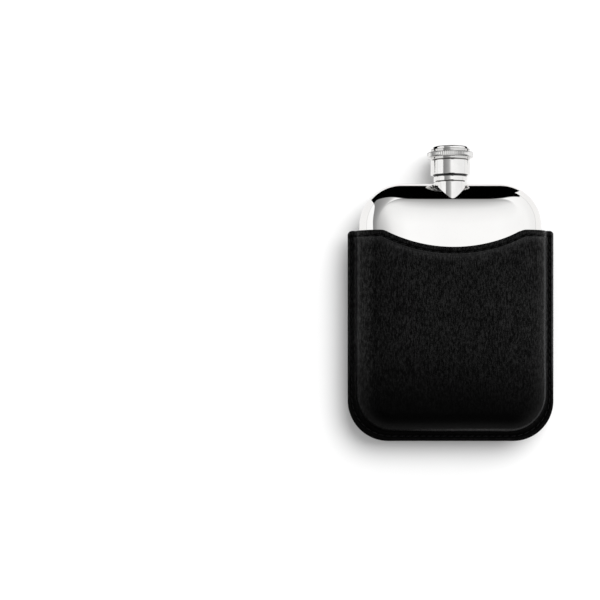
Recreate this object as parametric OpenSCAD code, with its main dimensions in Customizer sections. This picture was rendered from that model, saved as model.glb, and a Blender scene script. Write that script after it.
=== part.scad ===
// Hip flask of polished steel in a leather sleeve, lying on its back.
// X runs across the flask, +Y points from the sleeve's foot to the cap, +Z is the front.
// The origin is on the floor, under the middle of the whole object. Millimetres.

/* [Flask body] */
// Width of the flask body
flask_w = 79.3; // [70:0.1:90]
// Height of the flask body, without neck and cap
flask_h = 106; // [98:0.5:125]
// Radius of the round edge between front and back
edge_r = 7.4; // [7.3:0.1:8.5]
// Rise of the front face above the round edge
crown_h = 3.2; // [0:0.1:5]
// Radius of the two upper corners
upper_corner_r = 18.4; // [14:0.1:22]
// Radius of the two lower corners
lower_corner_r = 14.5; // [12:0.1:18]
// Thickness of the steel sheet
sheet_t = 0.7; // [0.5:0.1:1]

/* [Neck] */
// Outer radius of the neck boss
neck_r = 7.2; // [6.8:0.1:7.2]
// Radius of the bore through the neck
bore_r = 4.6; // [3.5:0.1:4.8]
// Length of the neck above the body
neck_len = 10.95; // [10.5:0.05:11]
// Radius of the threaded neck between the threads
thread_root_r = 5.75; // [5.6:0.05:5.75]
// Distance from one thread to the next
thread_pitch = 1.5; // [1.5:0.1:2]
// Number of thread starts
thread_starts = 2; // [1:1:2]

/* [Cap] */
// Outer radius of the plain skirt
skirt_r = 8.5; // [8.4:0.1:9]
// Outer radius of the knurled ring
knurl_r = 9.85; // [9.5:0.05:11]
// Number of ridges round the knurled ring
knurl_count = 70; // [40:2:80]
// Radius of the polished disc on top
crown_disc_r = 7.45; // [6:0.05:8]
// Height of the cap's top above the body
cap_top = 16.2; // [16:0.1:18]

/* [Sleeve] */
// Width of the sleeve over its stitched flanges
sleeve_w = 89.5; // [88:0.5:98]
// Height of the sleeve
sleeve_h = 91.5; // [85:0.5:95]
// Distance from the sleeve's foot to the flask's foot
foot_gap = 6; // [5:0.1:8]
// Radius of the sleeve's lower corners
sleeve_corner_r = 17.5; // [14:0.5:20]
// Gap between the flask and the lining
pocket_gap = 0.3; // [0.2:0.05:0.5]
// Thickness of the lining
lining_t = 0.4; // [0.3:0.05:0.6]
// Thickness of the leather
leather_t = 1.2; // [1:0.1:1.6]
// Thickness of the welt between the two leathers
welt_t = 1; // [0.6:0.1:1.6]
// Depth of the scoop in the front mouth
scoop_depth = 7.4; // [4:0.1:12]
// Radius of the scoop
scoop_r = 64; // [50:1:90]
// Radius of the rounded shoulders beside the scoop
shoulder_r = 6; // [4:0.5:10]

/* [Stitching] */
// Distance from one stitch to the next along the flange
flange_pitch = 3; // [2.5:0.1:5]
// Distance from one stitch to the next along the mouth
mouth_pitch = 3.5; // [3:0.1:5]
// Thickness of the thread
thread_d = 0.5; // [0.4:0.05:0.7]

/* [Hidden] */

// Offsets of the sleeve's layers from the flask's surface
lining_out = pocket_gap + lining_t;
leather_out = lining_out + leather_t;
// Height of the flask's middle plane above the floor
mid_z = edge_r + leather_out;
// The whole object runs from -total_l / 2 to total_l / 2
total_l = foot_gap + flask_h + cap_top;
sleeve_foot_y = -total_l / 2;
sleeve_mouth_y = sleeve_foot_y + sleeve_h;
flask_mid_y = sleeve_foot_y + foot_gap + flask_h / 2;
flask_top_y = flask_mid_y + flask_h / 2;
// Sides of a rounded outline: steps in each corner, along its length and across its width
corner_steps = 6;
long_steps = 6;
wide_steps = 4;
edge_steps = 5;
// Inner rings of a face, as parts of the ring where the round edge ends
face_rings = [0.8, 0.6, 0.4, 0.2];
// The lining stops this far short of the leather's mouth
lining_setback = 0.6;
// Distance of a stitch line from the edge beside it
flange_inset = 1.7;
mouth_inset = 2.4;
stitch_part = 0.7;
stitch_lift = 0.02;
groove_depth = 0.6;

// Cap and neck heights above the body
boss_top = 1.1;
collar_z = [1.3, 3.1];
insert_z = [3.2, 13.4];
skirt_z = [3.9, 15];
knurl_z = [10.5, 15];
skirt_step_z = 10.05;
seal_z = [11, 12.2];
thread_z = [4.2, 10];
insert_thread_z = [4.4, 9.8];
insert_r = skirt_r - 0.9;
insert_lip_r = neck_r - 0.1;
insert_bore_r = 6.55;
stud_r = 2;

// ---- outlines and skins ----

function arc(centre, r, from, to, steps) =
    [for (i = [0 : steps]) let (a = from + (to - from) * i / steps)
        centre + r * [cos(a), sin(a)]];

function between(p, q, steps) = [for (i = [1 : steps - 1]) p + (q - p) * i / steps];

function reversed(list) = [for (i = [len(list) - 1 : -1 : 0]) list[i]];

// A rounded rectangle, counted round from its lower right corner
function outline(half_w, low, high, r_low, r_high) = let (
    lr = arc([half_w - r_low, low + r_low], r_low, -90, 0, corner_steps),
    ur = arc([half_w - r_high, high - r_high], r_high, 0, 90, corner_steps),
    ul = arc([r_high - half_w, high - r_high], r_high, 90, 180, corner_steps),
    ll = arc([r_low - half_w, low + r_low], r_low, 180, 270, corner_steps)
) concat(
    lr, between(lr[corner_steps], ur[0], long_steps),
    ur, between(ur[corner_steps], ul[0], wide_steps),
    ul, between(ul[corner_steps], ll[0], long_steps),
    ll, between(ll[corner_steps], lr[0], wide_steps)
);

// The flask's outline about its own middle, grown by an offset
function flask_outline(grow) = outline(
    flask_w / 2 + grow, -flask_h / 2 - grow, flask_h / 2 + grow,
    lower_corner_r + grow, upper_corner_r + grow
);

function sleeve_outline(inset) = outline(
    sleeve_w / 2 - inset, sleeve_foot_y + inset, flask_top_y + 10,
    sleeve_corner_r - inset, sleeve_corner_r - inset
);

// Share of the crown at a point; a straight pocket keeps its full depth up to the mouth
function crown_share(p, grow, straight) = let (
    across = p.x / (flask_w / 2 + grow),
    along = p.y / (flask_h / 2 + grow)
) (1 - pow(across, 4)) * (straight && along > 0 ? 1 : 1 - pow(along, 4));

// A ring of points at a height on the edge, lifted by the crown as the edge rises from the seam
function lifted(ring, edge_z, seam_z, grow, crown, straight) = let (
    rise = max(0, edge_z - seam_z) / (edge_r + grow - seam_z)
) [for (p = ring)
    [p.x, p.y + flask_mid_y, edge_z + rise * crown * crown_share(p, grow, straight)]];

// Rings of half a pillow, from its seam up the round edge and in to the middle of its face
function pillow(grow, seam_z, crown, straight, from_z) = let (
    r = edge_r + grow,
    first = asin(seam_z / r),
    angles = concat(
        from_z < seam_z ? [asin(from_z / r)] : [],
        [for (i = [0 : edge_steps]) first + (90 - first) * i / edge_steps]
    ),
    face = flask_outline(grow - r)
) concat(
    [for (a = angles)
        lifted(flask_outline(grow - r * (1 - cos(a))), r * sin(a), seam_z, grow, crown, straight)],
    [for (s = face_rings) lifted(s * face, r, seam_z, grow, crown, straight)]
);

function sum(list) = [for (v = list) 1] * list;

function centre_of(ring) = [for (i = [0 : 2]) sum([for (p = ring) p[i]]) / len(ring)];

// Closed solid through a row of rings, ended at both ends by a fan. The first rings, up to the turn,
// are split along their other diagonal, so that two skins laid on each other share their faces
module skin(rings, turn = 0) {
    n = len(rings);
    m = len(rings[0]);
    points = [for (ring = rings) each ring];
    sides = [for (i = [0 : n - 2], j = [0 : m - 1])
        let (a = i * m + j, b = i * m + (j + 1) % m)
        each i < turn ? [[a, b, a + m], [b, b + m, a + m]] : [[a, b, b + m], [a, b + m, a + m]]];
    first_fan = [for (j = [0 : m - 1]) [n * m, (j + 1) % m, j]];
    last_fan = [for (j = [0 : m - 1]) [n * m + 1, (n - 1) * m + j, (n - 1) * m + (j + 1) % m]];
    polyhedron(
        concat(points, [centre_of(rings[0]), centre_of(rings[n - 1])]),
        concat(sides, first_fan, last_fan),
        convexity = 6
    );
}

// Half of the flask's steel body, open at the middle plane
module half_shell(crown) {
    difference() {
        translate([0, 0, mid_z]) mirror([0, 0, crown > 0 ? 0 : 1])
            skin(concat(
                reversed(pillow(0, 0, crown, false, 0)),
                pillow(-sheet_t, 0, crown, false, 0)
            ));
        on_neck(0) cylinder(h = 30, r = neck_r, center = true);
    }
}

// Half of a sleeve layer between two offsets from the flask, without its flange
module layer(from, to, crown) {
    outside = pillow(to, welt_t / 2, crown, true, 0);
    skin(concat(reversed(outside), pillow(from, welt_t / 2, crown, true, 0)), len(outside) - 1);
}

// Half of the leather: the moulded pocket with its flange
module leather_half(crown) {
    low = welt_t / 2;
    high = low + leather_t;
    edge = sleeve_outline(0);
    skin(concat(
        reversed(pillow(leather_out, high, crown, true, high)),
        [[for (p = edge) [p.x, p.y, high]], [for (p = edge) [p.x, p.y, low]]],
        pillow(lining_out, low, crown, true, low)
    ));
}

// ---- the mouth of the sleeve ----

// Edge of the front mouth from right to left, lowered by a distance measured square to it
function mouth_line(drop) = let (
    scoop_c = [0, sleeve_mouth_y - scoop_depth + scoop_r],
    rise = scoop_r - scoop_depth + shoulder_r,
    shoulder_x = sqrt(pow(scoop_r + shoulder_r, 2) - rise * rise),
    turn = asin(shoulder_x / (scoop_r + shoulder_r)),
    shoulder_y = sleeve_mouth_y - shoulder_r
) concat(
    [[sleeve_w, sleeve_mouth_y - drop]],
    arc([shoulder_x, shoulder_y], shoulder_r - drop, 90, 90 + turn, 4),
    arc(scoop_c, scoop_r + drop, 270 + turn * 0.95, 270 - turn * 0.95, 20),
    arc([-shoulder_x, shoulder_y], shoulder_r - drop, 90 - turn, 90, 4),
    [[-sleeve_w, sleeve_mouth_y - drop]]
);

// Everything above the front mouth
module front_cutter(setback) {
    linear_extrude(height = 100, center = true) polygon(concat(
        [for (p = mouth_line(0)) p - [0, setback]],
        [[-sleeve_w, flask_top_y + 40], [sleeve_w, flask_top_y + 40]]
    ));
}

// Everything above the straight back mouth
module back_cutter(setback) {
    translate([-sleeve_w, sleeve_mouth_y - setback, -50]) cube([2 * sleeve_w, 100, 100]);
}

// ---- placing along the neck and along a stitch line ----

// A frame on the neck's axis, its Z along the neck, a height above the body
module on_neck(height) {
    translate([0, flask_top_y + height, mid_z]) rotate([-90, 0, 0]) children();
}

function path_length(path) = sum([for (i = [1 : len(path) - 1]) norm(path[i] - path[i - 1])]);

// Place and direction at a distance along a path: [x, y, angle]
function walk(path, s, i = 0) = let (step = path[i + 1] - path[i], l = norm(step))
    s <= l || i >= len(path) - 2
    ? let (p = path[i] + step * s / l) [p.x, p.y, atan2(step.y, step.x)]
    : walk(path, s - l, i + 1);

module stitch(pitch) {
    translate([0, 0, thread_d / 2]) cube([pitch * stitch_part, thread_d, thread_d], center = true);
}

// ---- flask ----

module front_shell() { color([0.86, 0.86, 0.85]) half_shell(crown_h); }

module back_shell() { color([0.78, 0.78, 0.78]) half_shell(0); }

module tube(z, r_out, r_in) {
    difference() {
        translate([0, 0, z[0]]) cylinder(h = z[1] - z[0], r = r_out, $fn = 96);
        translate([0, 0, z[0] - 1]) cylinder(h = z[1] - z[0] + 2, r = r_in, $fn = 96);
    }
}

// One turn-by-turn ridge, fading out at both ends; root and crest are [radius, half width]
module thread_ridge(z, root, crest, phase) {
    lead = thread_pitch * thread_starts;
    steps = ceil((z[1] - z[0]) / lead * 30);
    rings = [for (i = [0 : steps]) let (
        a = phase + 360 * (z[1] - z[0]) / lead * i / steps,
        h = z[0] + (z[1] - z[0]) * i / steps,
        full = min(1, 0.15 + i / 6, 0.15 + (steps - i) / 6),
        r = root[0] + (crest[0] - root[0]) * full
    ) [for (p = [[root[0], -root[1]], [r, -crest[1]], [r, crest[1]], [root[0], root[1]]])
        [p[0] * cos(a), p[0] * sin(a), h + p[1]]]];
    if (crest[0] > root[0]) skin(rings);
    else skin([for (ring = rings) reversed(ring)]);
}

module neck_tube() {
    color([0.82, 0.82, 0.82]) on_neck(0) {
        tube([-8, boss_top], neck_r, bore_r);
        difference() {
            union() {
                translate([0, 0, boss_top]) cylinder(h = neck_len - boss_top, r = thread_root_r, $fn = 96);
                for (i = [0 : thread_starts - 1])
                    thread_ridge(thread_z, [thread_root_r - 0.2, 0.45], [6.3, 0.17], 360 * i / thread_starts);
            }
            cylinder(h = 30, r = bore_r, $fn = 96);
        }
    }
}

module neck_collar() {
    color([0.75, 0.75, 0.75]) on_neck(0) {
        tube(collar_z, neck_r, thread_root_r);
        tube([boss_top, collar_z[0]], neck_r - 0.3, thread_root_r);
    }
}

// ---- cap ----

module cap_skirt() {
    top_r = skirt_r - 0.4;
    color([0.82, 0.82, 0.82]) on_neck(0) rotate_extrude($fn = 96) polygon([
        [insert_r, skirt_z[0]], [skirt_r, skirt_z[0]], [skirt_r, skirt_step_z], [top_r, skirt_step_z],
        [top_r, skirt_z[1]], [stud_r, skirt_z[1]], [stud_r, insert_z[1]], [insert_r, insert_z[1]]
    ]);
}

module knurled_ring() {
    half = (knurl_z[1] - knurl_z[0]) / 2;
    root_r = knurl_r - 0.35;
    color([0.7, 0.7, 0.7]) on_neck(knurl_z[0] + half) intersection() {
        rotate_extrude($fn = 96) polygon([
            [skirt_r - 0.4, -half], [knurl_r - 1.1, -half], [knurl_r, -half * 0.2],
            [knurl_r, half * 0.5], [knurl_r - 0.9, half], [skirt_r - 0.4, half]
        ]);
        linear_extrude(height = 3 * half, center = true) polygon([for (i = [0 : 2 * knurl_count - 1])
            let (r = i % 2 == 0 ? knurl_r + 0.1 : root_r, a = 180 * i / knurl_count) r * [cos(a), sin(a)]]);
    }
}

module cap_crown() {
    color([0.85, 0.85, 0.85]) on_neck(0) {
        translate([0, 0, skirt_z[1]]) cylinder(h = cap_top - skirt_z[1] - 0.4, r = crown_disc_r, $fn = 96);
        translate([0, 0, cap_top - 0.4]) cylinder(h = 0.4, r1 = crown_disc_r, r2 = crown_disc_r - 1, $fn = 96);
        translate([0, 0, insert_z[1]]) cylinder(h = skirt_z[1] - insert_z[1], r = stud_r, $fn = 48);
    }
}

module thread_insert() {
    color([0.15, 0.15, 0.16]) on_neck(0) {
        difference() {
            union() {
                translate([0, 0, insert_z[0]]) cylinder(h = skirt_z[0] - insert_z[0], r = insert_lip_r, $fn = 96);
                translate([0, 0, skirt_z[0]]) cylinder(h = insert_z[1] - skirt_z[0], r = insert_r, $fn = 96);
            }
            cylinder(h = seal_z[1], r = insert_bore_r, $fn = 96);
        }
        for (i = [0 : thread_starts - 1])
            thread_ridge(
                insert_thread_z, [insert_bore_r + 0.15, 0.4], [5.95, 0.15],
                360 * i / thread_starts + 180 / thread_starts
                    + 360 * (insert_thread_z[0] - thread_z[0]) / (thread_pitch * thread_starts)
            );
    }
}

module cap_seal() {
    color([0.9, 0.88, 0.8]) on_neck(seal_z[0])
        cylinder(h = seal_z[1] - seal_z[0], r = insert_bore_r - 0.05, $fn = 96);
}

// ---- sleeve ----

module front_leather() {
    color([0.1, 0.1, 0.1]) difference() {
        translate([0, 0, mid_z]) leather_half(crown_h);
        front_cutter(0);
    }
}

// The back is flat where it rests, with a shallow groove that keeps the mouth stitches off the floor
module back_leather() {
    color([0.08, 0.08, 0.08]) difference() {
        translate([0, 0, mid_z]) mirror([0, 0, 1]) leather_half(0);
        back_cutter(0);
        translate([0, sleeve_mouth_y - mouth_inset, 0])
            cube([flask_w - 2 * edge_r, 2 * thread_d, 2 * groove_depth], center = true);
    }
}

module front_lining() {
    color([0.2, 0.19, 0.18]) difference() {
        translate([0, 0, mid_z]) layer(pocket_gap, lining_out, crown_h);
        front_cutter(lining_setback);
    }
}

module back_lining() {
    color([0.2, 0.19, 0.18]) difference() {
        translate([0, 0, mid_z]) mirror([0, 0, 1]) layer(pocket_gap, lining_out, 0);
        back_cutter(lining_setback);
    }
}

module seam_welt() {
    color([0.14, 0.13, 0.13]) difference() {
        translate([0, 0, mid_z - welt_t / 2]) linear_extrude(height = welt_t) difference() {
            polygon(sleeve_outline(0));
            translate([0, flask_mid_y]) polygon(flask_outline(lining_out));
        }
        back_cutter(0);
    }
}

// Stitches on both faces of the flange, all round the U from mouth to mouth
module flange_stitching() {
    whole = sleeve_outline(flange_inset);
    left_side = 3 * (corner_steps + 1) + long_steps + wide_steps - 2;
    top = sleeve_mouth_y - mouth_inset;
    x = sleeve_w / 2 - flange_inset;
    around = [for (i = [0 : len(whole) - 1]) whole[(i + left_side) % len(whole)]];
    line = concat([[-x, top]], [for (p = around) if (p.y < top) p], [[x, top]]);
    count = floor(path_length(line) / flange_pitch);
    color([0.05, 0.05, 0.05]) for (i = [0 : count - 1], side = [0, 1]) {
        at = walk(line, (i + 0.5) * path_length(line) / count);
        translate([at[0], at[1], mid_z]) mirror([0, 0, side]) rotate([0, 0, at[2]])
            translate([0, 0, welt_t / 2 + leather_t]) stitch(flange_pitch);
    }
}

module front_mouth_stitching() {
    reach = flask_w / 2 - edge_r / 2;
    line = [for (p = mouth_line(mouth_inset)) [min(reach, max(-reach, p.x)), p.y]];
    count = floor(path_length(line) / mouth_pitch);
    r = edge_r + leather_out;
    high = welt_t / 2 + leather_t;
    color([0.05, 0.05, 0.05]) for (i = [0 : count - 1]) {
        at = walk(line, (i + 0.5) * path_length(line) / count);
        skin_z = function (x) let (
            deep = flask_w / 2 + leather_out - abs(x),
            edge = deep >= r ? r : sqrt(r * r - (r - deep) * (r - deep))
        ) edge + crown_h * (edge - high) / (r - high) * (1 - pow(x / (flask_w / 2 + leather_out), 4));
        tilt = atan((skin_z(at[0] + 0.5) - skin_z(at[0] - 0.5)));
        translate([at[0], at[1], mid_z + skin_z(at[0]) + stitch_lift]) rotate([0, -tilt, 0])
            rotate([0, 0, at[2]]) stitch(mouth_pitch);
    }
}

module back_mouth_stitching() {
    reach = flask_w / 2 - edge_r - mouth_pitch;
    count = floor(2 * reach / mouth_pitch);
    color([0.05, 0.05, 0.05]) for (i = [0 : count - 1])
        translate([
            (i + 0.5) * 2 * reach / count - reach, sleeve_mouth_y - mouth_inset, groove_depth - thread_d
        ]) stitch(mouth_pitch);
}

front_shell();
back_shell();
neck_tube();
neck_collar();
cap_skirt();
knurled_ring();
cap_crown();
thread_insert();
cap_seal();
front_leather();
back_leather();
front_lining();
back_lining();
seam_welt();
flange_stitching();
front_mouth_stitching();
back_mouth_stitching();
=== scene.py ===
# A pocket flask of polished steel in a black leather sleeve, lying on its back on a white table.
import math

import bmesh
import bpy
import numpy as np
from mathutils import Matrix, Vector


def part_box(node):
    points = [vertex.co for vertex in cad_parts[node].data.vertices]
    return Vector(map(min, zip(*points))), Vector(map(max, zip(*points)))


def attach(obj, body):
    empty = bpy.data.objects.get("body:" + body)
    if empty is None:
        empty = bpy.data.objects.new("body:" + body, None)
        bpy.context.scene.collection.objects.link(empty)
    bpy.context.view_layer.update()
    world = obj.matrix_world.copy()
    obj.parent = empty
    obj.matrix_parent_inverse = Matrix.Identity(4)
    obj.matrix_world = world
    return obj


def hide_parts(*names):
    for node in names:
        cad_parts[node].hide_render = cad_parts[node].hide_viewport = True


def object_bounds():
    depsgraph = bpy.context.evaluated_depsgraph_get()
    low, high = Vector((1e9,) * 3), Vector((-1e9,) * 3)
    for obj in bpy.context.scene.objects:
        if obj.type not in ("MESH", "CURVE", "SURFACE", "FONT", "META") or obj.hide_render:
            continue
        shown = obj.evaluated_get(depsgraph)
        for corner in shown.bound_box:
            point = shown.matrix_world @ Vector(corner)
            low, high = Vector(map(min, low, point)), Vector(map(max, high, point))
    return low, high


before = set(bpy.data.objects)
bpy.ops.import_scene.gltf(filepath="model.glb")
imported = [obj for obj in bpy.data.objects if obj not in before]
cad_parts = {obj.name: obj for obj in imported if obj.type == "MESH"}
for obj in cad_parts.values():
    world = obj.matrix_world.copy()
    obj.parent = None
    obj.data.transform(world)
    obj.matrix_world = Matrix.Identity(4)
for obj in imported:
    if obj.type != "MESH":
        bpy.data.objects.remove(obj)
cad_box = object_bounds()
MM = 0.001

# ---- Flask body ----
# Two drawn shells of thin sheet steel, welded edge to edge round the middle and polished until the
# seam is gone. The front bulges a little, the back is flat, and the edge between them is a full round.
front_low, front_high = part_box("front_shell")
back_low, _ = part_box("back_shell")
MID_Z = front_low.z
MID_Y = (front_low.y + front_high.y) / 2
TOP_Y = front_high.y
HALF_W = front_high.x
HALF_H = TOP_Y - MID_Y
EDGE_R = MID_Z - back_low.z
CROWN = front_high.z - MID_Z - EDGE_R
UPPER_R = 18.4 * MM
LOWER_R = 14.5 * MM
SHEET = 0.7 * MM
EDGE_RINGS = 31
FACE_RINGS = 40
NECK_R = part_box("neck_tube")[1].x
WELD_LAP = 0.8 * MM


class Wire:
    """An output of a node. Arithmetic on it adds Math nodes, and node() adds any other node."""

    def __init__(self, tree, socket=None):
        self.tree = tree
        self.socket = socket

    def node(self, kind, settings=(), inputs=(), out=0):
        """A new node of this kind, settings first; stops are a ramp's places and shades of grey."""
        made = self.tree.nodes.new(kind)
        for name, value in dict(settings).items():
            if name == "stops":
                ramp = made.color_ramp.elements
                ramp.remove(ramp[1])
                for i, (place, shade) in enumerate(value):
                    stop = ramp[0] if i == 0 else ramp.new(place)
                    stop.position = place
                    stop.color = (shade, shade, shade, 1)
            else:
                setattr(made, name, value)
        for name, value in dict(inputs).items():
            if isinstance(value, Wire):
                self.tree.links.new(value.socket, made.inputs[name])
            else:
                made.inputs[name].default_value = value
        return Wire(self.tree, made.outputs[out])

    def math(self, operation, a, b=0.0):
        return self.node("ShaderNodeMath", {"operation": operation}, {0: a, 1: b})

    def __add__(self, other):
        return self.math("ADD", self, other)

    def __radd__(self, other):
        return self.math("ADD", other, self)

    def __sub__(self, other):
        return self.math("SUBTRACT", self, other)

    def __rsub__(self, other):
        return self.math("SUBTRACT", other, self)

    def __mul__(self, other):
        return self.math("MULTIPLY", self, other)

    def __rmul__(self, other):
        return self.math("MULTIPLY", other, self)

    def __truediv__(self, other):
        return self.math("DIVIDE", self, other)

    def __gt__(self, other):
        return self.math("GREATER_THAN", self, other)

    def __lt__(self, other):
        return self.math("LESS_THAN", self, other)

    def __abs__(self):
        return self.math("ABSOLUTE", self)

    def ramp(self, *stops):
        return self.node("ShaderNodeValToRGB", {"stops": stops}, {"Fac": self})

    def axis(self, name):
        return self.node("ShaderNodeSeparateXYZ", (), {0: self}, "XYZ".index(name))

    def noise(self, size, detail=2.0, stretch=(1, 1, 1)):
        """Noise from 0 to 1 whose blobs are about size metres wide, drawn out along each axis."""
        scale = tuple(1 / (size * s) for s in stretch)
        place = self.node("ShaderNodeMapping", (), {"Vector": self, "Scale": scale})
        return place.node("ShaderNodeTexNoise", (), {"Vector": place, "Scale": 1.0, "Detail": detail})

    def mix(self, low, high):
        """The colour low where this value is 0, and high where it is 1."""
        return self.node(
            "ShaderNodeMix", {"data_type": "RGBA"}, {0: self, 6: (*low, 1), 7: (*high, 1)}, 2
        )

    def bump(self, depth, strength=1.0):
        """A normal from a height of 0 to 1 that stands for depth metres."""
        return self.node("ShaderNodeBump", (), {"Height": self, "Distance": depth, "Strength": strength})


def finish(name, **sockets):
    """A new material, its shader with these sockets set, and a wire with the place on the piece."""
    material = bpy.data.materials.new(name)
    material.use_nodes = True
    shader = material.node_tree.nodes["Principled BSDF"]
    place = Wire(material.node_tree).node("ShaderNodeTexCoord", out=3)
    dress(shader, **sockets)
    return material, shader, place


def dress(shader, **sockets):
    """Sets sockets of a shader by name, with _ for a space, to a value or a wire."""
    for name, value in sockets.items():
        socket = shader.inputs[name.replace("_", " ")]
        if isinstance(value, Wire):
            value.tree.links.new(value.socket, socket)
        else:
            socket.default_value = value


def linked(name, mesh):
    """An object that shows a mesh, at the origin of the scene."""
    piece = bpy.data.objects.new(name, mesh)
    bpy.context.scene.collection.objects.link(piece)
    return piece


def raw_mesh(name, points, faces, **marks):
    """A mesh as it is given, with a number at each point for every mark."""
    mesh = bpy.data.meshes.new(name)
    mesh.from_pydata([tuple(p) for p in points], [], faces)
    for key, values in marks.items():
        mesh.attributes.new(key, "FLOAT", "POINT").data.foreach_set("value", values)
    return mesh


def solid(name, points, faces, material, sharp=math.radians(32), **marks):
    """A closed piece: doubles merged, faces outwards, smooth but for edges over an angle."""
    mesh = raw_mesh(name, points, faces, **marks)
    welded(mesh, sharp)
    mesh.materials.append(material)
    return linked(name, mesh)


def welded(mesh, sharp):
    """Merges doubles, turns the faces outwards and smooths all but the sharp edges."""
    work = bmesh.new()
    work.from_mesh(mesh)
    bmesh.ops.remove_doubles(work, verts=work.verts, dist=1e-7)
    bmesh.ops.dissolve_degenerate(work, edges=work.edges, dist=1e-8)
    loose = [v for v in work.verts if not v.link_faces]
    bmesh.ops.delete(work, geom=loose, context="VERTS")
    bare = [e for e in work.edges if not e.link_faces]
    bmesh.ops.delete(work, geom=bare, context="EDGES")
    bmesh.ops.recalc_face_normals(work, faces=work.faces)
    for face in work.faces:
        face.smooth = True
    for edge in work.edges:
        edge.smooth = len(edge.link_faces) == 2 and edge.calc_face_angle() < sharp
    work.to_mesh(mesh)
    work.free()


def place_piece(piece, body, slot, *nodes):
    """The piece rides on a body and stands for CAD nodes, which it hides. The slot is not used."""
    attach(piece, body)
    if nodes:
        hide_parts(*nodes)


def arc(centre, r, start, stop, steps):
    """Points at even steps round a circle, from one angle in degrees to another."""
    turn = np.radians(np.linspace(start, stop, steps + 1))
    return np.array(centre) + r * np.stack([np.cos(turn), np.sin(turn)], 1)


def rounded(half_w, low, high, r_low, r_high, corner=28, long=44, wide=36):
    """A rounded rectangle, counted anticlockwise from its lower right corner."""
    corners = [
        arc((half_w - r_low, low + r_low), r_low, -90, 0, corner),
        arc((half_w - r_high, high - r_high), r_high, 0, 90, corner),
        arc((r_high - half_w, high - r_high), r_high, 90, 180, corner),
        arc((r_low - half_w, low + r_low), r_low, 180, 270, corner),
    ]
    points = []
    for i, here in enumerate(corners):
        there = corners[(i + 1) % 4]
        steps = long if i % 2 == 0 else wide
        points += [*here, *np.linspace(here[-1], there[0], steps + 1)[1:-1]]
    return np.array(points)


def crown_share(x, y, grow, straight):
    """Share of the crown at places on the front; a straight pocket keeps its depth up to the mouth."""
    along = np.abs(y - MID_Y) / (HALF_H + grow)
    if straight:
        along = np.where(y > MID_Y, 0, along)
    return np.maximum(1 - (x / (HALF_W + grow)) ** 4, 0) * np.maximum(1 - along**4, 0)


def shell_grid(grow, crown):
    """Rings of half the flask, from its seam up the round edge and in to the middle of its face."""
    r = EDGE_R + grow
    rings = []
    for turn in np.radians(np.linspace(0, 90, EDGE_RINGS)):
        g = grow - r * (1 - math.cos(turn))
        ring = rounded(HALF_W + g, MID_Y - HALF_H - g, MID_Y + HALF_H + g, LOWER_R + g, UPPER_R + g)
        rings.append((ring, r * math.sin(turn)))
    face = ring
    for share in np.linspace(1, 0, FACE_RINGS + 1)[1:]:
        rings.append(((0, MID_Y) + share * (face - (0, MID_Y)), r))
    grid = []
    for ring, edge_z in rings:
        x, y = ring.T
        grid.append(np.stack([x, y, edge_z * (1 + crown / r * crown_share(x, y, grow, False))], 1))
    return np.array(grid)


def sheet_mesh(outer, inner, keep, closed):
    """Points and faces of the solid between two grids, walled round the cells that are kept."""
    rows, cols = outer.shape[:2]
    points = np.concatenate([outer.reshape(-1, 3), inner.reshape(-1, 3)])
    half = rows * cols
    faces, edges = [], set()
    for i in range(rows - 1):
        for j in range(cols if closed else cols - 1):
            if keep[i, j]:
                a, b = i * cols + j, i * cols + (j + 1) % cols
                loop = (a, b, b + cols, a + cols)
                faces += [loop, tuple(half + v for v in reversed(loop))]
                edges.update(zip(loop, loop[1:] + loop[:1]))
    faces += [(q, p, p + half, q + half) for p, q in edges if (q, p) not in edges]
    return points, faces


steel, steel_shader, spot = finish("polished_steel", Metallic=1.0)
smears = spot.noise(14 * MM, 3)
dress(
    steel_shader,
    Base_Color=smears.ramp((0.3, 0), (0.75, 1)).mix((0.945, 0.94, 0.93), (0.915, 0.908, 0.9)),
    Roughness=smears.ramp((0.35, 0.03), (0.8, 0.075)),
    Normal=spot.noise(34 * MM, 1).bump(0.14 * MM),
)

for name, crown, side in (("front_shell", CROWN, 1), ("back_shell", 0, -1)):
    outer, inner = shell_grid(0, crown), shell_grid(-SHEET, crown)
    centres = (outer[:-1] + outer[1:]) / 2
    off_axis = np.hypot(centres[..., 0], centres[..., 2])
    in_neck = (off_axis < NECK_R - WELD_LAP) & (centres[..., 1] > MID_Y)
    points, faces = sheet_mesh(outer, inner, ~in_neck, True)
    points = points * (1, 1, side) + (0, 0, MID_Z)
    place_piece(solid(name + "_polished", points, faces, steel), "flask", "polished_steel", name)

# ---- Neck ----
# A turned tube welded through the top of both shells. It carries the cap's two-start thread, and a
# collar with a fine groove under it, against which the closed cap comes to rest.
BORE_R = 4.6 * MM
THREAD_ROOT_R = 5.75 * MM
THREAD_CREST_R = 6.3 * MM
THREAD_LEAD = 3 * MM
THREAD_LOW = 4.2 * MM
THREAD_TURNS = 1.93
THREAD_RUN_OUT = 1 / 16
NECK_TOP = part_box("neck_tube")[1].y - TOP_Y
COLLAR_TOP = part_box("neck_collar")[1].y - TOP_Y
TUBE_FOOT = -8 * MM
BOSS_TOP = 0.55 * MM
BOSS_SWELL = 0.215
COLLAR_LOW = 1.15 * MM
GROOVE_R = NECK_R - 0.75 * MM
# How dark a turned groove is painted, as painted shade.
GROOVE_SHADE = 1.8
TURN_STEPS = 128


def soften(profile, size):
    """The corners of a closed outline rounded by a short bevel, held by a point on either side."""
    points = []
    count = len(profile)
    for i, here in enumerate(profile):
        here = np.array(here, float)
        before = np.array(profile[i - 1], float) - here
        after = np.array(profile[(i + 1) % count], float) - here
        if here[0] <= 1e-6:
            points.append(here)
            continue
        lengths = np.linalg.norm(before), np.linalg.norm(after)
        cut = min(size, 0.25 * lengths[0], 0.25 * lengths[1])
        into, away = before / lengths[0] * cut, after / lengths[1] * cut
        middle = here + 0.25 * (into + away)
        points += [here + 1.8 * into, here + into, middle, here + away, here + 1.8 * away]
    return np.array(points)


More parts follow.
